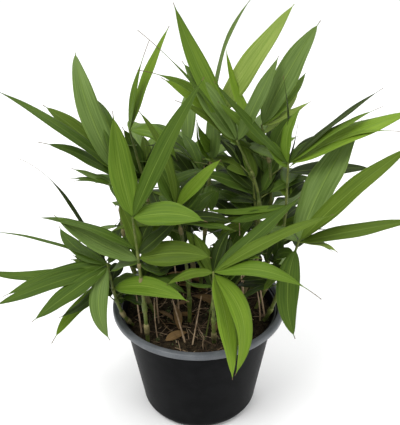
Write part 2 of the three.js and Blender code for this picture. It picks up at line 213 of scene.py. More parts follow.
@cache
def speckle_pattern() -> bpy.types.NodeTree:
    """Coarse and fine patches, for soil, litter, cane and scuffed plastic."""
    sheet, start, end = start_group("speckle", {"Scale": 60.0, "Fine": 6.0},
                                    ("Patches", "Specks", "Height"))
    coarse = sheet.add("ShaderNodeTexNoise", {"Vector": start.outputs["Vector"],
                                              "Scale": start.outputs["Scale"], "Detail": 4.0})
    finer = sheet.math("MULTIPLY", start.outputs["Scale"], start.outputs["Fine"])
    fine = sheet.add("ShaderNodeTexNoise", {"Vector": start.outputs["Vector"], "Scale": finer,
                                            "Detail": 2.0})
    patches = sheet.ramp(coarse.outputs[0], 0.36, 0.64)
    specks = sheet.ramp(fine.outputs[0], 0.5, 0.72)
    height = sheet.math("ADD", patches, sheet.math("MULTIPLY", specks, 0.4))
    sheet.join(end, {"Patches": patches, "Specks": specks, "Height": height})
    return sheet.tree


DULLING = 0.12  # more roughness in the streaks and specks of every finish


def new_material(name: str) -> tuple[bpy.types.Material, NodeSheet, bpy.types.Node]:
    """A new material, its node sheet and its shader."""
    material = bpy.data.materials.new(name)
    material.use_nodes = True
    return material, NodeSheet(material.node_tree), material.node_tree.nodes["Principled BSDF"]


@dataclass(frozen=True)
class LeafFinish:
    """A living leaf: its green, a lighter green in streaks, a pale midrib and a thin pale margin."""

    name: str
    green: Colour
    light: Colour
    rib: Colour = (0.2, 0.29, 0.05)
    roughness: float = 0.46
    sheen: float = 0.11

    def build(self) -> bpy.types.Material:
        """Makes the material."""
        material, sheet, shader = new_material(self.name)
        place = sheet.add("ShaderNodeUVMap", uv_map="blade").outputs[0]
        pattern = sheet.add("ShaderNodeGroup", node_tree=blade_pattern())
        sheet.tree.links.new(place, pattern.inputs["Vector"])
        tint = sheet.add("ShaderNodeAttribute", attribute_name="tint").outputs["Fac"]
        streaked = sheet.blend(pattern.outputs["Streak"], rgba(self.green), rgba(self.light))
        dark = tuple(0.62 * part for part in self.green)
        tinted = sheet.blend(sheet.ramp(tint, 0.0, 1.0, 0.0, 0.55), streaked, rgba(dark))
        ribbed = sheet.blend(sheet.math("MULTIPLY", pattern.outputs["Rib"], 0.32), tinted, rgba(self.rib))
        edged = sheet.blend(sheet.math("MULTIPLY", pattern.outputs["Margin"], 0.2), ribbed, rgba(self.rib))
        bump = sheet.add("ShaderNodeBump", {"Height": pattern.outputs["Height"], "Strength": 0.35,
                                            "Distance": 0.0006})
        rough = sheet.ramp(pattern.outputs["Streak"], 0.0, 1.0, self.roughness, self.roughness + DULLING)
        sheet.join(shader, {"Base Color": edged, "Normal": bump.outputs[0], "Roughness": rough})
        shader.inputs["Specular IOR Level"].default_value = self.sheen
        return material


@dataclass(frozen=True)
class SpeckledFinish:
    """A dull finish in two colours of patches, with specks of a third."""

    name: str
    dark: Colour
    light: Colour
    speck: Colour
    scale: float = 60.0
    fine: float = 6.0
    speck_share: float = 0.4
    roughness: float = 0.8
    relief: float = 0.0005
    sheen: float = 0.5

    def build(self) -> bpy.types.Material:
        """Makes the material."""
        material, sheet, shader = new_material(self.name)
        place = sheet.add("ShaderNodeTexCoord").outputs["Object"]
        pattern = sheet.add("ShaderNodeGroup", node_tree=speckle_pattern())
        pattern.inputs["Scale"].default_value = self.scale
        pattern.inputs["Fine"].default_value = self.fine
        sheet.tree.links.new(place, pattern.inputs["Vector"])
        patched = sheet.blend(pattern.outputs["Patches"], rgba(self.dark), rgba(self.light))
        specked = sheet.blend(sheet.math("MULTIPLY", pattern.outputs["Specks"], self.speck_share), patched,
                              rgba(self.speck))
        bump = sheet.add("ShaderNodeBump", {"Height": pattern.outputs["Height"], "Strength": 0.6,
                                            "Distance": self.relief})
        rough = sheet.ramp(pattern.outputs["Specks"], 0.0, 1.0, self.roughness,
                           min(self.roughness + DULLING, 1.0))
        sheet.join(shader, {"Base Color": specked, "Roughness": rough, "Normal": bump.outputs[0]})
        shader.inputs["Specular IOR Level"].default_value = self.sheen
        return material


class Tone(Enum):
    """The greens that the leaves come in: their own greens, and lighter and darker copies with painted
    light and painted shade in them.
    """

    # Painted light: a green made brighter and yellower, standing in for light that shines through the thin
    # blade.
    LIT_GREEN = LeafFinish("leaf_lit_green", (0.108, 0.192, 0.011), (0.162, 0.252, 0.022))
    GREEN = LeafFinish("leaf_green", (0.07, 0.132, 0.009), (0.112, 0.182, 0.017))
    DEEP = LeafFinish("leaf_deep", (0.036, 0.072, 0.006), (0.064, 0.11, 0.011))
    # Painted sheen: the leaf's green made greyer, standing in for the pale surroundings reflected on the
    # leaf.
    GREY_SHEEN = LeafFinish("leaf_grey_sheen", (0.078, 0.13, 0.025), (0.122, 0.185, 0.045), roughness=0.42)
    PALE = LeafFinish("leaf_pale", (0.145, 0.215, 0.032), (0.215, 0.285, 0.06))
    OLIVE = LeafFinish("leaf_olive", (0.058, 0.1, 0.007), (0.09, 0.141, 0.013))
    # Painted shade: a near-black green for leaves that sit in the shadow inside the crown.
    SHADE = LeafFinish("leaf_shade", (0.016, 0.031, 0.003), (0.029, 0.047, 0.006), sheen=0.1)
    TIP = LeafFinish("leaf_tip", (0.085, 0.06, 0.028), (0.15, 0.11, 0.05), rib=(0.15, 0.11, 0.05))
    RUSSET = LeafFinish("leaf_russet", (0.15, 0.088, 0.034), (0.23, 0.145, 0.06), rib=(0.3, 0.2, 0.1))


CANE_FINISH = SpeckledFinish("cane_green", (0.06, 0.088, 0.014), (0.115, 0.14, 0.03), (0.17, 0.14, 0.06),
                             scale=90.0, roughness=0.5, relief=0.0002, sheen=0.2)
NODE_FINISH = SpeckledFinish("cane_node", (0.1, 0.1, 0.038), (0.15, 0.14, 0.058), (0.08, 0.06, 0.03),
                             scale=140.0, roughness=0.6, relief=0.0003, sheen=0.2)
SHEATH_FINISH = SpeckledFinish("cane_sheath", (0.14, 0.125, 0.05), (0.21, 0.18, 0.08), (0.1, 0.075, 0.035),
                               scale=110.0, roughness=0.7, relief=0.0003, sheen=0.2)
STRAW_FINISH = SpeckledFinish("dry_straw", (0.25, 0.17, 0.095), (0.4, 0.29, 0.18), (0.14, 0.085, 0.045),
                              scale=120.0, roughness=0.8, relief=0.0004)
BROWN_FINISH = SpeckledFinish("dry_brown", (0.085, 0.05, 0.026), (0.15, 0.092, 0.05), (0.05, 0.028, 0.015),
                              scale=120.0, roughness=0.85, relief=0.0004)
SOIL_FINISH = SpeckledFinish("soil_dark", (0.007, 0.005, 0.003), (0.03, 0.021, 0.011), (0.13, 0.1, 0.055),
                             scale=130.0, fine=5.0, speck_share=0.45, roughness=0.9, relief=0.0012,
                             sheen=0.1)
CRUMB_FINISH = SpeckledFinish("soil_crumbs", (0.012, 0.008, 0.005), (0.05, 0.033, 0.018),
                              (0.13, 0.09, 0.05), scale=260.0, roughness=0.92, relief=0.0006, sheen=0.1)
MOSS_FINISH = SpeckledFinish("moss", (0.035, 0.055, 0.012), (0.08, 0.11, 0.03), (0.15, 0.17, 0.06),
                             scale=240.0, roughness=0.95, relief=0.0008)
POT_FINISH = SpeckledFinish("pot_black", (0.003, 0.0033, 0.0036), (0.005, 0.0053, 0.0058),
                            (0.012, 0.012, 0.013), scale=45.0, fine=14.0, speck_share=0.35, roughness=0.4,
                            relief=0.00012, sheen=0.03)
# The rim's lighter grey is partly dust on the black plastic and partly a painted sheen, the light that the
# rim catches from above.
RIM_DUST_AND_SHEEN_FINISH = SpeckledFinish("pot_rim_dust_and_sheen", (0.078, 0.086, 0.094), (0.104, 0.113, 0.122), (0.17, 0.18, 0.19),
                            scale=50.0, fine=12.0, speck_share=0.3, roughness=0.42, relief=0.00015,
                            sheen=0.35)


# ---- Mesh helpers ------------------------------------------------------------------------------


Finish = LeafFinish | SpeckledFinish


@cache
def paint(finish: Finish) -> bpy.types.Material:
    """The material of a finish, which is made once."""
    return finish.build()


@dataclass
class Maker:
    """A mesh in the making, with its finishes, which ends as a piece of the plant."""

    name: str
    slot: str
    mesh: bmesh.types.BMesh = field(default_factory=bmesh.new)
    finishes: list[Finish] = field(default_factory=list)

    def finish_index(self, finish: Finish) -> int:
        """The number of a finish on this piece, which is added if it is new."""
        if finish not in self.finishes:
            self.finishes.append(finish)
        return self.finishes.index(finish)

    def close(self, replaces: tuple[str, ...] = (), thickness: float = 0.0) -> None:
        """Turns the mesh into a finished object that rides on the plant.

        Args:
            replaces: The solid nodes that it stands for.
            thickness: A wall to give thin blades, or 0.
        """
        data = bpy.data.meshes.new(self.name)
        self.mesh.to_mesh(data)
        self.mesh.free()
        piece = bpy.data.objects.new(self.name, data)
        bpy.context.scene.collection.objects.link(piece)
        for finish in self.finishes:
            data.materials.append(paint(finish))
        if thickness > 0.0:
            wall = piece.modifiers.new("wall", "SOLIDIFY")
            wall.thickness = thickness
            wall.offset = 0.0
        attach(piece, BODY)
        if replaces:
            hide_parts(*replaces)
        LOG.info("%s: %d faces", self.name, len(data.polygons))


def tube(maker: Maker, path: list[Vector], radii: list[float], sides: int, finish: Finish) -> None:
    """Wraps a grid into a round limb along a path, and closes its ends.

    Args:
        maker: The piece it belongs to.
        path: The points of its middle line.
        radii: Its radius at each point.
        sides: How many sides it has.
        finish: What it is covered with.
    """
    bm = maker.mesh
    last = len(path) - 1
    made = bmesh.ops.create_grid(bm, x_segments=sides, y_segments=last, size=0.5)["verts"]
    for vert in made:
        turn = 2.0 * math.pi * (vert.co.x + 0.5)
        row = round((vert.co.y + 0.5) * last)
        along = (path[min(row + 1, last)] - path[max(row - 1, 0)]).normalized()
        turned = UP.rotation_difference(along)
        vert.co = path[row] + turned @ Vector((math.cos(turn), math.sin(turn), 0.0)) * radii[row]
    faces = {face for vert in made for face in vert.link_faces}
    bmesh.ops.remove_doubles(bm, verts=made, dist=1e-7)
    edges = list({edge for vert in made if vert.is_valid for edge in vert.link_edges if edge.is_boundary})
    closed = bmesh.ops.holes_fill(bm, edges=edges, sides=0)["faces"]
    index = maker.finish_index(finish)
    whole = [face for face in faces if face.is_valid] + list(closed)
    for face in whole:
        face.smooth = True
        face.material_index = index
    bmesh.ops.recalc_face_normals(bm, faces=whole)


def spin(maker: Maker, profile: list[tuple[float, float]], steps: int) -> None:
    """Spins a line of radius and height round the upright axis into a closed solid.

    Args:
        maker: The piece it belongs to.
        profile: The line, from the axis and back to it.
        steps: How many faces go round.
    """
    bm = maker.mesh
    verts = [bm.verts.new((radius, 0.0, height)) for radius, height in profile]
    edges = [bm.edges.new(pair) for pair in zip(verts, verts[1:])]
    bmesh.ops.spin(bm, geom=[*verts, *edges], cent=(0, 0, 0), axis=(0, 0, 1), dvec=(0, 0, 0),
                   angle=2 * math.pi, steps=steps, use_merge=True, use_duplicate=False)
    bmesh.ops.remove_doubles(bm, verts=bm.verts[:], dist=1e-6)
    bmesh.ops.recalc_face_normals(bm, faces=bm.faces[:])
    for face in bm.faces:
        face.smooth = True


def curve_points(foot: Vector, bend: Vector, top: Vector, steps: int) -> list[Vector]:
    """Points along a limb that leaves its foot towards a bend and ends at a top."""
    shares = [i / steps for i in range(steps + 1)]
    return [foot * (1 - s) ** 2 + bend * (2 * s * (1 - s)) + top * s * s for s in shares]


# ---- Leaves ------------------------------------------------------------------------------------

STALK_SHARE = 0.03
BLADE_FOLD = 0.161
MAP_SCALE = 10.0  # of a leaf's own map, for each metre of its length
GOLDEN = 0.618  # of the range, from one dealt heading to the next


@dataclass(frozen=True)
class Leaf:
    """One leaf of a shoot: where it leaves its twig, which way it goes, and its shape."""

    place: float
    heading: float
    rise: float
    length: float
    width: float
    arch: float
    sweep: float
    roll: float
    awn: float
    tone: Tone = Tone.GREEN
    curl: float = 0.0
    curl_way: float = 0.0

    def axes(self) -> tuple[Vector, Vector, Vector]:
        """The leaf's own directions: along it, over it and to its side."""
        along = direction(self.heading, self.rise)
        over = (UP - along * along.z).normalized()
        return along, over, along.cross(over)

    def midrib(self, share: float) -> Vector:
        """A point of the midrib, from the leaf's base.

        Args:
            share: How far along the leaf it is, from 0 to 1.

        Returns:
            Where it is.
        """
        along, over, aside = self.axes()
        length = self.length * MM
        hooked = 1.0 - max(1.6 * self.awn, 0.1)

        def plain(at: float) -> Vector:
            bulge = 4.0 * at * (1.0 - at) * length
            return along * (at * length) + over * (self.arch * bulge) + aside * (self.sweep * bulge)

        if share <= hooked or abs(self.curl) < 1.0:
            return plain(share)
        way = (plain(hooked) - plain(hooked - 0.02)).normalized()
        lean = math.radians(self.curl_way)
        side = aside * math.cos(lean) + over * math.sin(lean)
        side = (side - way * side.dot(way)).normalized()
        reach = (share - hooked) * length
        radius = (1.0 - hooked) * length / math.radians(abs(self.curl))
        turn, sign = reach / radius, math.copysign(1.0, self.curl)
        return (plain(hooked) + way * (radius * math.sin(turn))
                + side * (sign * radius * (1 - math.cos(turn))))

    def half_width(self, share: float) -> float:
        """Half the blade's width at a share of its length, in metres."""
        along = (share - STALK_SHARE) / (1.0 - self.awn - STALK_SHARE)
        least = mix(0.78, 0.5, smooth(0.5, 1.0, share)) * MM
        if along <= 0.0 or along >= 1.0:
            return least
        swell = math.sin(math.pi * along ** 0.78) ** 0.7
        return max(0.5 * self.width * MM * swell, least)


@dataclass
class BladeMaker:
    """Turns leaves into folded, slightly waved blades on one piece."""

    maker: Maker
    chance: random.Random
    columns: int = 6
    rows: int = 22

    def __post_init__(self) -> None:
        """Adds the layers that the leaves' finish reads."""
        bm = self.maker.mesh
        self.uv = bm.loops.layers.uv.new("blade")
        self.tint = bm.verts.layers.float.new("tint")

    def add(self, leaf: Leaf, base: Vector, tint: float | None = None) -> None:
        """Makes one leaf.

        Args:
            leaf: What it is like.
            base: Where its stalk starts.
            tint: How much darker than its tone, from 0 to 1, or None for a chance amount.
        """
        bm, chance = self.maker.mesh, self.chance
        made = bmesh.ops.create_grid(bm, x_segments=self.columns, y_segments=self.rows, size=0.5)["verts"]
        _, over, aside = leaf.axes()
        twist = chance.uniform(-16.0, 16.0)
        phases = [chance.uniform(0.0, 2.0 * math.pi) for _ in range(2)]
        waves = chance.uniform(1.4, 2.6)
        shade = chance.uniform(0.0, 0.6) if tint is None else tint
        places: dict[bmesh.types.BMVert, tuple[float, float]] = {}
        for vert in made:
            side, step = 2.0 * vert.co.x, vert.co.y + 0.5
            share = mix(step, 0.5 - 0.5 * math.cos(math.pi * step), 0.55)
            roll = math.radians(leaf.roll + twist * (share - 0.4))
            across = aside * math.cos(roll) + over * math.sin(roll)
            centre = leaf.midrib(share)
            way = leaf.midrib(min(share + 0.01, 1.0)) - leaf.midrib(max(share - 0.01, 0.0))
            across = (across - way * (across.dot(way) / way.length_squared)).normalized()
            face = across.cross(way).normalized()
            half = leaf.half_width(share)
            wave = 0.1 * math.sin(waves * 2 * math.pi * share + phases[int(side > 0)]) * side * side
            lift = BLADE_FOLD * abs(side) ** 1.25 - 0.05 * side ** 4 + wave
            vert.co = base + centre + across * (side * half) + face * (lift * half)
            vert[self.tint] = shade
            places[vert] = (0.5 + 0.5 * side, share * leaf.length * MM * MAP_SCALE)
        green = self.maker.finish_index(leaf.tone.value)
        dry = self.maker.finish_index(Tone.TIP.value)
        brown_from = (1.0 - 0.75 * leaf.awn) * leaf.length * MM * MAP_SCALE
        for face in {face for vert in made for face in vert.link_faces}:
            face.smooth = True
            low = min(places[loop.vert][1] for loop in face.loops)
            face.material_index = dry if low >= brown_from else green
            for loop in face.loops:
                loop[self.uv].uv = places[loop.vert]


# ---- Shoots ------------------------------------------------------------------------------------

CANE_STEPS = 40
CANE_FOOT = 157.0
NODES = 4
NODE_SWELL = 1.28
NODE_REACH = 0.9 * MM
TWIG_STEPS = 10
SIDE_RADII = (1.15, 0.95, 0.85, 0.95, 0.7)


@dataclass(frozen=True)
class Fan:
    """Leaves dealt out over a range, drooping at the foot of the twig and upright at its tip."""

    count: int
    headings: tuple[float, float]
    rises: tuple[float, float]
    lengths: tuple[float, float]
    widths: tuple[float, float]
    seed: int
    tones: tuple[Tone, ...] = (Tone.GREEN, Tone.DEEP, Tone.GREY_SHEEN)

    def leaves(self) -> list[Leaf]:
        """Deals out the leaves."""
        dice = Dice(self.seed)
        dealt = []
        for i in range(self.count):
            turn, place = (0.5 + i * GOLDEN) % 1.0, i / (self.count - 1)
            dealt.append(Leaf(place, mix(*self.headings, turn) + dice.spread(10.0),
                              mix(*self.rises, place) + dice.spread(12.0), dice.between(*self.lengths),
                              dice.between(*self.widths), 0.08 + 0.06 * dice.roll(), dice.spread(0.08),
                              dice.spread(30.0), 0.06, self.tones[i % len(self.tones)]))
        return dealt


@dataclass(frozen=True)
class Branching:
    """Side twigs grown from the upper part of a cane by a seeded rule, each ending in a few leaves."""

    seed: int
    start: float
    headings: tuple[float, float]
    rises: tuple[float, float]
    reach: tuple[float, float] = (8, 22)
    twigs: int = 3
    each: int = 2
    lengths: tuple[float, float] = (50, 80)
    widths: tuple[float, float] = (14, 24)
    # Mostly the near-black SHADE tone: painted shade for the leaves inside the crown.
    tones: tuple[Tone, ...] = (Tone.SHADE, Tone.DEEP, Tone.SHADE, Tone.OLIVE)

    def grow(self, path: list[Vector]) -> list[tuple[Vector, Vector, list[Leaf]]]:
        """Grows the side twigs.

        Args:
            path: The middle line of the cane.

        Returns:
            For each twig, its foot, its tip and the leaves at its tip.
        """
        dice = Dice(self.seed * 7919 + 13)
        grown = []
        for i in range(self.twigs):
            share = mix(self.start, 1.0, (i + dice.roll()) / self.twigs)
            heading = mix(*self.headings, (0.5 + i * GOLDEN) % 1.0) + dice.spread(30.0)
            rise = dice.between(*self.rises)
            reach = dice.between(*self.reach) * MM
            foot = path[min(round(share * (len(path) - 1)), len(path) - 1)]
            tip = foot + direction(heading, rise) * reach
            leaves = []
            for j in range(self.each):
                turned = (j - (self.each - 1) / 2) * 50.0 + dice.spread(24.0)
                leaves.append(Leaf(1, heading + turned, rise + dice.spread(26.0),
                                   dice.between(*self.lengths), dice.between(*self.widths),
                                   0.06 + 0.08 * dice.roll(), dice.spread(0.1), dice.spread(50.0), 0.06,
                                   self.tones[(i + j) % len(self.tones)]))
            grown.append((foot, tip, leaves))
        return grown


@dataclass
class Shoot:
    """A bare cane, the leafy twig at its top and its leaves."""

    name: str
    foot: tuple[float, float]
    low: tuple[float, float, float]
    high: tuple[float, float, float]
    leaves: tuple[Leaf, ...] = ()
    fan: Fan | None = None
    branchings: tuple[Branching, ...] = ()
    foot_radius: float = 3.0
    top_radius: float = 2.0
    twig_radius: float = 1.25

    def ends(self) -> tuple[Vector, Vector]:
        """The foot and the tip of the leafy twig, in metres."""
        return Vector(self.low) * MM, Vector(self.high) * MM

    def path(self) -> list[Vector]:
        """The middle line of the cane, from the soil to the foot of its leafy twig."""
        low, high = self.ends()
        foot = Vector((*self.foot, CANE_FOOT)) * MM
        bend = low - (high - low).normalized() * (0.45 * (low - foot).length)
        return curve_points(foot, bend, low, CANE_STEPS)

    def build_cane(self, chance: random.Random) -> None:
        """Makes the cane with its nodes and sheaths, and the twig above it.

        Args:
            chance: The seeded source of chance.
        """
        maker = Maker(f"cane_{self.name}", "culm")
        low, high = self.ends()
        lean = (high - low).normalized()
        steps = CANE_STEPS
        path = self.path()
        joints = sorted({min(steps - 2, 6 + round(i * (steps - 8) / 3.0 + chance.uniform(-2, 2)))
                         for i in range(NODES)})
        radii = [mix(self.foot_radius, self.top_radius, i / steps) * MM for i in range(steps + 1)]
        for joint in joints:
            radii[joint] *= NODE_SWELL
            radii[joint - 1] *= 1.05
        tube(maker, path, radii, 10, CANE_FINISH)
        for joint in joints:
            ring = [path[joint] - (path[joint] - path[joint - 1]).normalized() * NODE_REACH, path[joint],
                    path[joint] + (path[joint + 1] - path[joint]).normalized() * NODE_REACH]
            tube(maker, ring, [radii[joint] * swell for swell in (0.99, 1.1, 0.99)], 10, NODE_FINISH)
            reach = min(joint + chance.randint(3, 5), steps)
            wrapped = path[joint:reach + 1]
            if len(wrapped) > 2:
                around = [radii[joint] * 1.08 + 0.25 * MM * math.sin(math.pi * i / len(wrapped))
                          for i in range(len(wrapped))]
                around[-1] = radii[reach] * 1.02
                tube(maker, wrapped, around, 9, SHEATH_FINISH if chance.random() < 0.5 else CANE_FINISH)
        twig = [low.lerp(high + lean * 2.0 * MM, i / TWIG_STEPS) for i in range(TWIG_STEPS + 1)]
        thick = [mix(self.top_radius, self.twig_radius, i / TWIG_STEPS) * MM * (1.2 if i % 3 == 2 else 1.0)
                 for i in range(TWIG_STEPS + 1)]
        tube(maker, twig, thick, 8, CANE_FINISH)
        for branching in self.branchings:
            for start, tip, _ in branching.grow(path):
                side = [start.lerp(tip, i / 4) + UP * 0.6 * MM * math.sin(math.pi * i / 4)
                        for i in range(5)]
                tube(maker, side, [radius * MM for radius in SIDE_RADII], 6, CANE_FINISH)
        maker.close((f"culm_{self.name}",))

    def build_leaves(self, chance: random.Random) -> None:
        """Makes the leaves of the twig.

        Args:
            chance: The seeded source of chance.
        """
        maker = Maker(f"leaves_{self.name}", "leaf")
        blades = BladeMaker(maker, chance)
        low, high = self.ends()
        for leaf in (*self.leaves, *(self.fan.leaves() if self.fan else ())):
            blades.add(leaf, low.lerp(high, leaf.place))
        for branching in self.branchings:
            for _, tip, side_leaves in branching.grow(self.path()):
                for leaf in side_leaves:
                    blades.add(leaf, tip)
        maker.close((f"spray_{self.name}",), thickness=0.35 * MM)


LIT_GREEN, GREEN, DEEP, GREY_SHEEN, PALE, OLIVE, SHADE = (
    Tone.LIT_GREEN, Tone.GREEN, Tone.DEEP, Tone.GREY_SHEEN, Tone.PALE, Tone.OLIVE, Tone.SHADE)

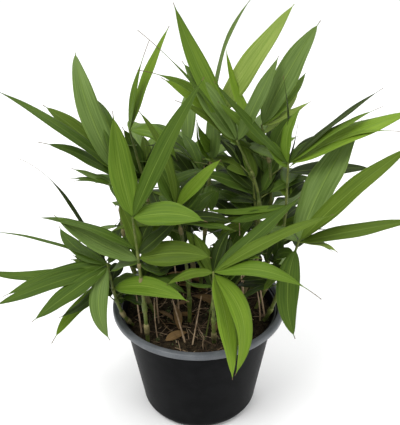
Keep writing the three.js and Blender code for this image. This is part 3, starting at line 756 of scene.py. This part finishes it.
# Leaf: place on the twig, heading, rise, length, width, arch, sweep, roll, awn, tone, tip curl, curl's way.
SHOOTS = (
    Shoot("front_left", (-74, -71), (-80, -85, 305), (-85, -85, 375), (
        Leaf(1, 134, 79, 145, 36, -0.06, 0.02, 15, 0.08, GREEN),
        Leaf(1, 23, 60, 205, 29, 0.02, -0.01, -25, 0.06, DEEP),
        Leaf(1, 348, 3, 100, 34, 0.08, -0.02, -40, 0.08, GREEN),
        Leaf(0.05, 168, 27, 129, 29, -0.04, 0.01, 30, 0.05, GREY_SHEEN),
        Leaf(0.3, 162, 8, 160, 20, 0.14, -0.08, -5, 0.12, DEEP),
        Leaf(0.1, 351, 6, 100, 35, 0.02, -0.1, -50, 0.05, OLIVE),
        Leaf(0, 43, -28, 65, 22, -0.1, 0.1, -20, 0.08, DEEP),
        Leaf(0.2, 23, 36, 80, 26, -0.04, -0.02, -10, 0.08, SHADE),
        Leaf(1, 131, 30, 60, 13, 0.14, -0.08, -20, 0.08, DEEP),
    ), Fan(2, (100, 180), (-35, -5), (80, 95), (22, 26), 34),
          branchings=(Branching(7, 0.6, (20, 120), (-30, 5)),
                      Branching(104, 0.45, (20, 120), (10, 45), (10, 30)))),
    Shoot("low_left", (-98, -30), (-120, -65, 250), (-125, -65, 290), (
        Leaf(1, 184, -17, 155, 28, 0.01, 0.06, 20, 0.06, DEEP),
        Leaf(0.9, 196, -12, 165, 29, 0, 0.04, 10, 0.06, DEEP),
        Leaf(1, 163, -13, 210, 22, -0.04, -0.05, 15, 0.05, DEEP),
        Leaf(0.9, 214, -20, 126, 29, 0.02, 0, 15, 0.06, DEEP),
        Leaf(0.5, 217, -21, 90, 22, -0.2, 0.09, -5, 0.06, DEEP),
        Leaf(0.4, 227, -24, 120, 23, -0.18, 0.23, 0, 0.12, LIT_GREEN),
        Leaf(0.9, 272, -62, 102, 26, 0.16, 0.13, 0, 0.06, GREY_SHEEN),
        Leaf(1, 137, 11, 105, 26, -0.01, -0.1, 0, 0.06, DEEP),
        Leaf(1, 159, 4, 195, 9, 0.04, 0.02, -10, 0.1, DEEP),
        Leaf(0, 325, 13, 135, 28, 0.08, -0.02, -40, 0.06, GREEN),
        Leaf(1, 149, 53, 200, 15, 0.03, -0.02, -25, 0.3, SHADE, -50, 90),
    ), Fan(2, (30, 100), (-12, 8), (75, 90), (22, 26), 142),
          branchings=(Branching(19, 0.6, (60, 180), (-20, 25)),
                      Branching(109, 0.7, (0, 180), (-20, 25), (10, 30)),
                      Branching(249, 0.5, (20, 120), (-35, 0), (10, 30)))),
    Shoot("front_centre", (22, -74), (20, -110, 285), (20, -110, 305), (
        Leaf(1, 7, 26, 175, 23, 0.04, 0, -10, 0.05, OLIVE),
        Leaf(1, 351, 23, 70, 18, 0.06, -0.2, -5, 0.08, GREEN),
        Leaf(1, 180, -17, 65, 19, 0.08, 0.04, 10, 0.04, OLIVE),
        Leaf(0, 191, 23, 45, 10, -0.14, 0, 0, 0.1, DEEP),
        Leaf(0.9, 292, -63, 145, 31, -0.08, -0.07, 15, 0.04, LIT_GREEN),
        Leaf(0.95, 300, -67, 145, 30, 0.06, -0.17, 5, 0.04, LIT_GREEN),
        Leaf(1, 341, -4, 145, 27, 0.16, 0.01, -15, 0.2, GREEN),
        Leaf(1, 29, 30, 155, 24, 0, 0, -10, 0.04, DEEP),
    ),
          branchings=(Branching(42, 0.8, (20, 120), (10, 45)),
                      Branching(85, 0.7, (20, 120), (10, 45), (10, 30)))),
    Shoot("right_low", (98, -22), (130, -75, 310), (135, -75, 330), (
        Leaf(1, 50, 42, 193, 53, -0.04, -0.06, 10, 0.03, GREY_SHEEN),
        Leaf(1, 0, 46, 200, 31, 0.02, -0.03, -25, 0.05, OLIVE),
        Leaf(1, 353, 16, 160, 24, -0.02, -0.05, -20, 0.05, OLIVE),
        Leaf(1, 333, -1, 55, 11, -0.01, -0.18, -5, 0.08, PALE),
        Leaf(0.5, 269, -67, 125, 32, 0.07, 0.1, 5, 0.05, DEEP),
        Leaf(0, 134, -42, 55, 18, 0.16, 0.04, 40, 0.05, DEEP),
    ), Fan(3, (60, 170), (-45, -15), (80, 100), (22, 28), 142),
          branchings=(Branching(2, 0.6, (120, 240), (-30, 5)),)),
    Shoot("right", (86, 6), (125, 0, 345), (125, 0, 410), (
        Leaf(1, 17, 35, 165, 17, 0.06, 0.04, 10, 0.08, SHADE),
        Leaf(1, 8, 31, 148, 20, 0.07, 0.04, 0, 0.12, GREEN),
        Leaf(1, 0, 25, 185, 37, 0.02, -0.01, -15, 0.05, LIT_GREEN),
        Leaf(0.9, 345, 26, 160, 16, 0.06, -0.14, -5, 0.14, LIT_GREEN),
        Leaf(0.8, 32, -13, 164, 27, 0.01, -0.01, -25, 0.05, SHADE),
        Leaf(1, 183, 50, 160, 18, -0.03, 0.08, 30, 0.05, DEEP),
        Leaf(1, 62, 60, 80, 19, 0.12, -0.1, 20, 0.04, GREEN),
        Leaf(1, 100, 68, 120, 8, -0.04, 0.04, -55, 0.1, SHADE),
        Leaf(1, 42, 75, 60, 6, -0.16, -0.09, 35, 0.3, DEEP),
        Leaf(0.9, 156, 47, 55, 20, 0, 0.02, 25, 0.05, GREEN),
        Leaf(0, 185, 0, 120, 17, -0.04, -0.03, 5, 0.06, GREEN),
        Leaf(0, 200, -6, 90, 24, -0.02, -0.02, 5, 0.06, DEEP),
    ), Fan(3, (60, 160), (-35, 0), (85, 110), (22, 28), 154),
          branchings=(Branching(1, 0.6, (-180, 180), (-20, 25)),
                      Branching(92, 0.45, (20, 120), (-20, 25), (10, 30)))),
    Shoot("top_centre", (28, 8), (75, 20, 390), (55, 20, 435), (
        Leaf(1, 149, 61, 205, 33, -0.04, 0.01, 20, 0.04, GREEN),
        Leaf(1, 159, 53, 134, 34, 0, 0.02, 30, 0.06, GREY_SHEEN),
        Leaf(1, 153, 42, 205, 10, 0.1, -0.08, -10, 0.3, DEEP),
        Leaf(1, 176, 37, 168, 25, 0.05, 0.22, 25, 0.2, GREEN),
        Leaf(0.8, 185, 45, 150, 20, 0.02, 0.12, 30, 0.05, LIT_GREEN),
        Leaf(0.8, 193, 41, 120, 17, 0.04, 0.12, 35, 0.15, OLIVE),
        Leaf(1, 41, 54, 130, 25, 0.09, 0.08, -5, 0.04, GREY_SHEEN),
    ),
          branchings=(Branching(45, 0.6, (0, 180), (-20, 25)),
                      Branching(109, 0.45, (60, 180), (10, 45), (10, 30)))),
    Shoot("top_right", (64, 52), (100, 40, 405), (90, 40, 450), (
        Leaf(1, 25, 58, 162, 39, 0, -0.04, -25, 0.05, GREY_SHEEN),
        Leaf(1, 38, 36, 100, 20, 0.04, 0.09, -5, 0.03, GREEN),
        Leaf(0.7, 50, 30, 96, 18, 0, 0.07, 10, 0.03, PALE),
        Leaf(1, 3, 27, 75, 14, -0.03, 0, -20, 0.06, PALE),
        Leaf(0.3, 143, 61, 145, 20, -0.06, -0.03, 0, 0.03, LIT_GREEN),
        Leaf(0.3, 188, 46, 100, 20, 0, 0, 40, 0.05, GREEN),
    ),
          branchings=(Branching(27, 0.8, (60, 180), (10, 45)),
                      Branching(99, 0.7, (0, 180), (10, 45), (10, 30)))),
    Shoot("top_back", (2, 52), (20, 70, 385), (25, 70, 445), (
        Leaf(1, 19, 72, 184, 13, 0.02, -0.18, 0, 0.08, GREY_SHEEN),
        Leaf(1, 20, 53, 195, 35, 0.03, 0.02, -30, 0.03, PALE),
        Leaf(0, 78, 76, 85, 30, 0.3, 0.07, 35, 0.05, GREY_SHEEN),
        Leaf(0, 245, 65, 105, 10, -0.15, 0.03, 80, 0.1, GREEN),
        Leaf(0.3, 234, 56, 68, 20, -0.17, -0.09, 80, 0.1, GREEN),
    ), Fan(4, (10, 110), (-8, 40), (85, 110), (24, 30), 115),
          branchings=(Branching(7, 0.6, (-60, 60), (-30, 5)),
                      Branching(94, 0.7, (120, 240), (-20, 25), (10, 30)))),
    Shoot("upper_left", (-64, -8), (-110, 0, 345), (-110, 0, 400), (
        Leaf(1, 173, 35, 205, 21, 0.04, 0, 15, 0.1, DEEP),
        Leaf(1, 158, 37, 138, 30, 0.04, 0.01, 20, 0.05, OLIVE),
        Leaf(1, 125, 55, 175, 35, 0.16, -0.13, 0, 0.02, GREY_SHEEN),
        Leaf(1, 119, 52, 110, 24, 0.24, -0.02, -20, 0.05, DEEP),
        Leaf(0.8, 184, 30, 120, 22, 0.04, 0.08, 20, 0.12, DEEP),
        Leaf(0.6, 185, 26, 70, 13, -0.04, 0.09, 15, 0.08, GREY_SHEEN),
        Leaf(0.5, 180, 14, 70, 12, 0.12, -0.04, 5, 0.1, DEEP),
    ), Fan(3, (50, 160), (-26, -4), (80, 100), (22, 28), 66),
          branchings=(Branching(22, 0.8, (-60, 60), (-30, 5)),)),
    Shoot("mid_left", (-48, 34), (-80, 50, 365), (-95, 50, 440), (
        Leaf(1, 27, 65, 155, 18, 0.06, 0.05, -15, 0.04, LIT_GREEN),
        Leaf(1, -2, 76, 135, 13, 0.04, 0.05, -40, 0.25, GREEN),
        Leaf(1, 339, -27, 80, 26, 0.34, 0.17, -20, 0.05, GREEN),
        Leaf(0, 140, 62, 80, 24, 0, 0.06, 5, 0.08, DEEP),
    ), Fan(4, (55, 135), (-50, -20), (75, 95), (22, 28), 40),
          branchings=(Branching(23, 0.6, (-180, 0), (-30, 5)),
                      Branching(80, 0.85, (-180, 180), (10, 45), (10, 30)))),
    Shoot("centre", (-14, -30), (-25, -40, 335), (-30, -40, 365), (
        Leaf(1, 18, 44, 90, 22, 0.06, 0.06, -20, 0.04, LIT_GREEN),
        Leaf(0.3, 353, -8, 80, 20, 0.04, 0, -5, 0.06, DEEP),
        Leaf(1, 137, 62, 140, 20, 0.02, 0.09, -10, 0.04, OLIVE),
        Leaf(1, 125, 40, 80, 34, 0.06, 0.04, -5, 0.06, DEEP),
        Leaf(0.5, 58, 35, 85, 18, 0.14, 0.18, 20, 0.1, DEEP),
    ), Fan(4, (0, 140), (-30, 10), (65, 85), (22, 28), 162, (DEEP, SHADE)),
          branchings=(Branching(27, 0.8, (60, 180), (-20, 25)),
                      Branching(98, 0.7, (60, 180), (10, 45), (10, 30)))),
    Shoot("centre_right", (58, 4), (85, 30, 310), (80, 30, 365), (
        Leaf(1, 155, 70, 70, 21, 0.02, 0.08, 25, 0.04, OLIVE),
        Leaf(0.8, 158, 36, 65, 24, 0, 0.02, 15, 0.08, SHADE),
        Leaf(0.4, 147, -11, 55, 22, 0.02, 0.06, 0, 0.06, DEEP),
        Leaf(0.1, 217, -50, 80, 24, 0.12, 0.02, 10, 0.05, DEEP),
        Leaf(0.6, 42, 32, 50, 22, -0.02, 0.1, 10, 0.05, SHADE),
    ), Fan(4, (60, 200), (-18, 30), (70, 95), (22, 28), 73, (DEEP, SHADE)),
          branchings=(Branching(17, 0.6, (120, 240), (-20, 25)),
                      Branching(102, 0.85, (60, 180), (-20, 25), (10, 30)))),
    Shoot("back_left", (-50, 70), (-78, 114, 275), (-86, 130, 335), (),
          Fan(9, (60, 170), (-20, 20), (110, 140), (24, 32), 7),
          branchings=(Branching(18, 0.6, (-30, 90), (-20, 25)),)),
    Shoot("back_centre", (-6, 80), (-15, 120, 295), (-15, 130, 375), (),
          Fan(9, (20, 160), (-20, 20), (110, 140), (24, 32), 15),
          branchings=(Branching(12, 0.6, (-30, 90), (-30, 5)),
                      Branching(83, 0.7, (-180, 180), (10, 45), (10, 30)))),
    Shoot("back_right", (40, 72), (65, 100, 290), (70, 105, 365), (),
          Fan(9, (15, 120), (-20, 24), (110, 140), (24, 32), 161),
          branchings=(Branching(2, 0.6, (-30, 90), (-20, 25)),)),
    Shoot("side_right", (74, 44), (115, 45, 255), (120, 50, 300), (),
          Fan(6, (-10, 80), (-26, 6), (90, 115), (24, 30), 238),
          branchings=(Branching(2, 0.6, (90, 210), (-30, 5)),)),
    Shoot("side_left", (-76, 30), (-110, 40, 250), (-115, 42, 290), (),
          Fan(6, (130, 220), (-55, -25), (80, 105), (24, 30), 127),
          branchings=(Branching(49, 0.8, (-30, 90), (10, 45)),)),
)


# ---- Pot and soil ------------------------------------------------------------------------------


@dataclass
class Pot:
    """A round moulded nursery pot with a flat rolled rim and a rounded heel."""

    height: float = 0.181
    rim_radius: float = 0.130
    rim_band: float = 0.0095
    lip_depth: float = 0.009
    top_radius: float = 0.1155
    foot_radius: float = 0.086
    heel: float = 0.018
    wall: float = 0.0026
    floor: float = 0.0032
    steps: int = 144

    def body_radius(self, height: float) -> float:
        """The outside radius of the body at a height."""
        return mix(self.foot_radius, self.top_radius, height / (self.height - self.lip_depth))

    def profile(self) -> list[tuple[float, float]]:
        """Radius and height round the wall, from the middle of the underside to the middle inside."""
        lip = self.height - self.lip_depth
        out, inner = self.rim_radius, self.rim_radius - self.rim_band
        heights = [mix(self.heel, lip - 0.001, i / 40) for i in range(1, 40)]
        outside = [(self.body_radius(height), height) for height in heights]
        heel = []
        for i in range(9):
            turn = math.radians(90.0 * i / 8)
            heel.append((self.body_radius(self.heel) - self.heel * 0.92 * (1 - math.sin(turn)),
                         self.heel * (1 - math.cos(turn))))
        top = self.height
        return [
            (0.0, 0.0), (0.03, 0.0), (heel[0][0] - 0.004, 0.0), *heel, *outside,
            (self.top_radius, lip), (out - 0.001, lip), (out, lip + 0.0012), (out + 0.0001, top - 0.0028),
            (out - 0.0008, top - 0.0009), (out - 0.0026, top), (inner + 0.0022, top),
            (inner + 0.0007, top - 0.0006), (inner, top - 0.002), (inner - 0.001, lip + 0.001),
            (self.body_radius(lip - 0.003) - self.wall, lip - 0.003),
            (self.body_radius(0.1) - self.wall, 0.1), (self.body_radius(self.heel) - self.wall, self.heel),
            (self.foot_radius - self.heel, self.floor), (0.0, self.floor),
        ]

    def build(self) -> None:
        """Makes the pot as a spun wall, with the rim in a lighter grey that is partly dust and partly
        painted sheen.
        """
        maker = Maker("pot_shell", "pot")
        spin(maker, self.profile(), self.steps)
        body, rim = maker.finish_index(POT_FINISH), maker.finish_index(RIM_DUST_AND_SHEEN_FINISH)
        lip = self.height - self.lip_depth
        # Faces from the lip up take the rim's lighter grey: partly dust, partly a painted sheen from the
        # light above.
        for face in maker.mesh.faces:
            face.material_index = rim if face.calc_center_median().z > lip - 0.0002 else body
        maker.close(("pot",))


@dataclass
class Soil:
    """The soil in the pot, with crumbs, moss, straw and fallen leaves on it."""

    pot: Pot
    edge_height: float = 0.160
    crown: float = 0.003
    crown_radius: float = 0.060
    gap: float = 0.0004
    steps: int = 120
    rings: int = 44

    def radius(self, height: float) -> float:
        """The soil's radius at a height, a hair inside the pot's wall."""
        return self.pot.body_radius(height) - self.pot.wall - self.gap

    def level(self, x: float, y: float) -> float:
        """The height of the soil's uneven surface at a place."""
        reach = math.hypot(x, y)
        edge = self.radius(self.edge_height)
        if reach < self.crown_radius:
            smooth_level = self.edge_height + mix(self.crown, self.crown * 0.7, reach / self.crown_radius)
        else:
            share = (reach - self.crown_radius) / (edge - self.crown_radius)
            smooth_level = self.edge_height + mix(self.crown * 0.7, 0.0, share)
        fade = 1.0 - smooth(0.9, 1.0, reach / edge)
        coarse = noise.noise(Vector((x, y, 0.0)) * 38.0)
        fine = noise.noise(Vector((x, y, 0.5)) * 120.0)
        return smooth_level + fade * (0.0026 * coarse + 0.0016 * fine)

    def build(self) -> None:
        """Makes the soil as a spun solid with an uneven top."""
        maker = Maker("soil_bed", "soil")
        edge = self.radius(self.edge_height)
        top = [(edge * (1 - i / self.rings), self.edge_height) for i in range(self.rings + 1)]
        profile = [(0.0, 0.0036), (0.064, 0.0036), (self.radius(0.018), 0.0184), (self.radius(0.1), 0.1),
                   *top]
        spin(maker, profile, self.steps)
        maker.finish_index(SOIL_FINISH)
        for vert in maker.mesh.verts:
            if vert.co.z > self.edge_height - 0.001:
                vert.co.z = self.level(vert.co.x, vert.co.y)
        maker.close(("soil",))

    def spot(self, chance: random.Random, reach: float = 0.96) -> Vector:
        """A chance place on the soil."""
        radius = self.radius(self.edge_height) * reach * math.sqrt(chance.random())
        turn = chance.uniform(0.0, 2.0 * math.pi)
        x, y = radius * math.cos(turn), radius * math.sin(turn)
        return Vector((x, y, self.level(x, y)))


@dataclass
class Litter:
    """What lies on the soil: crumbs, moss, straws, fallen leaves and dead stems."""

    soil: Soil
    chance: random.Random = field(default_factory=lambda: random.Random(811))
    crumbs: int = 900
    crumb_sizes: tuple[float, float] = (0.7, 2.4)
    cushions: int = 30
    straws: int = 230
    fallen: int = 34
    stems: tuple[tuple[float, ...], ...] = (
        (-19, -78, -38, -40, 52, 1.5), (-10, -83, 4, -40, 58, 1.3), (10, -62, 22, -60, 90, 1.1),
        (100, -15, 86, 10, 80, 1.5), (92, -26, 84, -6, 60, 1.2), (-84, -54, -92, -40, 90, 1.4),
        (-60, -66, -64, -48, 60, 1.0), (60, -40, 66, -30, 120, 1.2), (40, -20, 34, 0, 140, 1.3),
        (-30, -10, -40, 10, 130, 1.3), (-60, -30, -66, -24, 120, 1.2), (70, -10, 60, 10, 150, 1.3),
    )

    def build(self) -> None:
        """Makes each kind as a piece of its own."""
        self.build_crumbs()
        self.build_moss()
        self.build_straws()
        self.build_fallen()
        self.build_stems()

    def lump(self, maker: Maker, place: Vector, size: float, finish: Finish) -> None:
        """Makes one uneven grain."""
        vary = self.chance.uniform
        stretch = Matrix.Diagonal((vary(0.7, 1.3), vary(0.7, 1.3), vary(0.5, 0.9), 1.0))
        turned = Matrix.Rotation(vary(0, math.pi), 4, "Z") @ Matrix.Rotation(vary(0, 1), 4, "X")
        made = bmesh.ops.create_icosphere(maker.mesh, subdivisions=1, radius=size,
                                          matrix=Matrix.Translation(place) @ turned @ stretch)["verts"]
        index = maker.finish_index(finish)
        for vert in made:
            vert.co += Vector([vary(-0.22, 0.22) * size for _ in range(3)])
        for face in {face for vert in made for face in vert.link_faces}:
            face.material_index = index

    def build_crumbs(self) -> None:
        """Scatters grains of soil."""
        maker = Maker("soil_crumbs", "soil")
        for _ in range(self.crumbs):
            size = mix(*self.crumb_sizes, self.chance.random() ** 2) * MM
            self.lump(maker, self.soil.spot(self.chance) + UP * size * 0.2, size, CRUMB_FINISH)
        maker.close()

    def build_moss(self) -> None:
        """Makes small cushions of moss."""
        maker = Maker("soil_moss", "soil")
        for _ in range(self.cushions):
            middle = self.soil.spot(self.chance)
            for _ in range(8):
                x = middle.x + self.chance.gauss(0, 0.004)
                y = middle.y + self.chance.gauss(0, 0.004)
                if math.hypot(x, y) < self.soil.radius(self.soil.edge_height) * 0.97:
                    size = self.chance.uniform(0.9, 2.0) * MM
                    self.lump(maker, Vector((x, y, self.soil.level(x, y))), size, MOSS_FINISH)
        maker.close()

    def build_straws(self) -> None:
        """Scatters dry straws and bits of stem."""
        maker = Maker("litter_straws", "culm")
        vary = self.chance.uniform
        edge = self.soil.radius(self.soil.edge_height) - 0.002
        for i in range(self.straws):
            middle = self.soil.spot(self.chance, 0.93)
            turn = vary(0, 2 * math.pi)
            half = mix(4.0, 19.0, self.chance.random() ** 2) * MM
            way = Vector((math.cos(turn), math.sin(turn), vary(-0.12, 0.3)))
            ends = [middle - way * half, middle + way * half]
            if max(math.hypot(end.x, end.y) for end in ends) > edge:
                continue
            sag = Vector((vary(-1, 1), vary(-1, 1), vary(0, 1))) * half * 0.15
            path = curve_points(ends[0], middle + sag, ends[1], 3)
            path = [Vector((p.x, p.y, max(p.z, self.soil.level(p.x, p.y)) + 0.0004)) for p in path]
            thick = vary(0.25, 0.75) * MM
            finish = STRAW_FINISH if i % 5 < 2 else BROWN_FINISH
            tube(maker, path, [thick, thick, thick * 0.9, thick * 0.6], 4, finish)
        maker.close()

    def build_fallen(self) -> None:
        """Lays dry leaves on the soil."""
        maker = Maker("litter_leaves", "leaf")
        blades = BladeMaker(maker, self.chance, columns=4, rows=10)
        vary = self.chance.uniform
        edge = self.soil.radius(self.soil.edge_height) - 0.004
        for _ in range(self.fallen):
            base = self.soil.spot(self.chance, 0.8)
            heading, length = vary(0, 360), vary(26, 62)
            tip = base + direction(heading, 0.0) * length * MM
            if math.hypot(tip.x, tip.y) > edge:
                continue
            leaf = Leaf(0, heading, vary(-2, 7), length, vary(6, 15), vary(0.02, 0.12), vary(-0.1, 0.1),
                        vary(-70, 70), 0.04, Tone.RUSSET)
            blades.add(leaf, base + UP * 0.0025, vary(0.0, 0.9))
        maker.close(thickness=0.3 * MM)

    def build_stems(self) -> None:
        """Makes the thin dead stems that stand in the soil."""
        maker = Maker("dead_stems", "culm")
        for i, (x, y, tip_x, tip_y, rise, thick) in enumerate(self.stems):
            foot = Vector((x, y, 158.0)) * MM
            top = Vector((tip_x, tip_y, 160.0 + rise)) * MM
            bend = foot.lerp(top, 0.5) + Vector([self.chance.uniform(-4, 4) * MM for _ in range(3)])
            path = curve_points(foot, bend, top, 12)
            radii = [thick * MM * (1.15 if step % 4 == 2 else 1.0) * mix(1.0, 0.6, step / 12)
                     for step in range(13)]
            tube(maker, path, radii, 7, STRAW_FINISH if i != 2 else CANE_FINISH)
        maker.close()


# ---- Stage -------------------------------------------------------------------------------------


@dataclass(frozen=True)
class Lamp:
    """A large soft light."""

    name: str
    place: tuple[float, float, float]
    size: float
    power: float

    def build(self) -> None:
        """Makes the lamp, turned to the plant."""
        data = bpy.data.lights.new(self.name, "AREA")
        data.shape = "SQUARE"
        data.size = self.size
        data.energy = self.power
        lamp = bpy.data.objects.new(self.name, data)
        lamp.location = self.place
        lamp.rotation_euler = (Vector((0, 0, 0.3)) - Vector(self.place)).to_track_quat("-Z", "Y").to_euler()
        bpy.context.scene.collection.objects.link(lamp)


@dataclass
class Studio:
    """A plain pale floor, soft light from all round and the camera."""

    lamps: tuple[Lamp, ...] = (
        Lamp("key_left", (-1.2, -1.2, 2.6), 1.5, 60.0),
        Lamp("fill_right", (1.9, -0.9, 1.7), 1.6, 16.0),
        Lamp("back_top", (0.2, 1.5, 2.4), 1.6, 34.0),
    )
    camera_place: tuple[float, float, float] = (0.003, -0.988, 0.898)
    tilt: float = 29.71
    roll: float = -0.46
    lens: float = 67.76
    surround: float = 0.78

    def build(self) -> None:
        """Makes the floor, the surroundings, the lamps and the camera."""
        scene = bpy.context.scene
        scene.view_settings.view_transform = "Standard"
        world = bpy.data.worlds.new("studio")
        world.use_nodes = True
        world.node_tree.nodes["Background"].inputs["Color"].default_value = (1.0, 1.0, 1.0, 1.0)
        world.node_tree.nodes["Background"].inputs["Strength"].default_value = self.surround
        scene.world = world
        self.build_floor()
        for lamp in self.lamps:
            lamp.build()
        data = bpy.data.cameras.new("camera")
        data.lens = self.lens
        data.sensor_width = 36.0
        data.clip_start = 0.01
        camera = bpy.data.objects.new("camera", data)
        camera.location = self.camera_place
        turned = Matrix.Rotation(math.radians(90.0 - self.tilt), 4, "X")
        rolled = Matrix.Rotation(math.radians(self.roll), 4, "Z")
        camera.rotation_euler = (turned @ rolled).to_euler()
        scene.collection.objects.link(camera)
        scene.camera = camera

    def build_floor(self) -> None:
        """Makes the floor, which isn't part of the plant."""
        bm = bmesh.new()
        bmesh.ops.create_grid(bm, x_segments=1, y_segments=1, size=12.0)
        data = bpy.data.meshes.new("floor")
        bm.to_mesh(data)
        bm.free()
        floor = bpy.data.objects.new("floor", data)
        material, _, shader = new_material("floor_white")
        shader.inputs["Base Color"].default_value = (0.9, 0.9, 0.9, 1.0)
        shader.inputs["Roughness"].default_value = 0.9
        data.materials.append(material)
        bpy.context.scene.collection.objects.link(floor)


# ---- Assembly ----------------------------------------------------------------------------------


def main() -> None:
    """Builds the whole plant and its studio."""
    logging.basicConfig(level=logging.INFO, format="%(name)s: %(message)s")
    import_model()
    Studio().build()
    pot = Pot()
    pot.build()
    soil = Soil(pot)
    soil.build()
    Litter(soil).build()
    for number, shoot in enumerate(SHOOTS):
        chance = random.Random(100 + number)
        shoot.build_cane(chance)
        shoot.build_leaves(chance)


if __name__ == "__main__":
    main()
